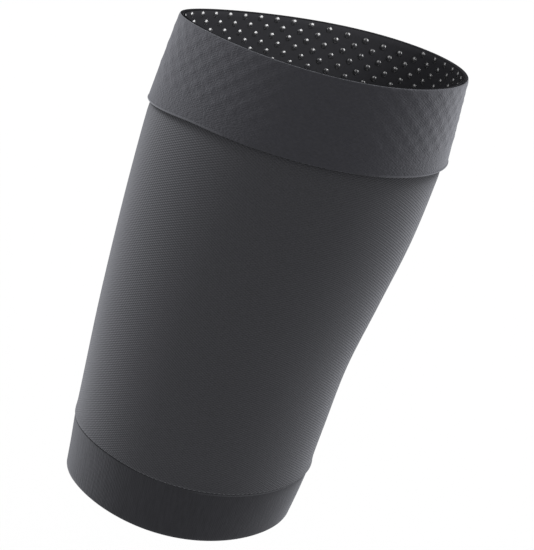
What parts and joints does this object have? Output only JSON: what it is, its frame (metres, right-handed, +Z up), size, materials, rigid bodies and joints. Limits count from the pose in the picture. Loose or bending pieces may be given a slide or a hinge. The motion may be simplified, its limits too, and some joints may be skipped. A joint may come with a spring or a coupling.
{
  "type": "thigh compression sleeve",
  "caption": "Tapering knit compression sleeve for the thigh, with a wide turned-over grip band, silicone dots inside the band and a turned hem at the knee end.",
  "frame": {"origin": "on the leg's axis at the middle height of the grip band", "axes": "+Z up the leg towards the hip, -Y to the front of the sleeve, +X across it"},
  "size_m": [0.1722, 0.1658, 0.27],
  "materials": {
    "tube_knit": "fine matt charcoal compression knit",
    "band_knit": "soft brushed charcoal knit",
    "strip_knit": "flat dark elastic",
    "silicone": "glossy clear silicone dots",
    "hem_knit": "fine matt charcoal knit, doubled"
  },
  "bodies": {
    "root": {"compression_tube": "tube_knit", "grip_band": "band_knit", "grip_strip": "strip_knit", "lower_hem": "hem_knit"}
  },
  "joints": []
}
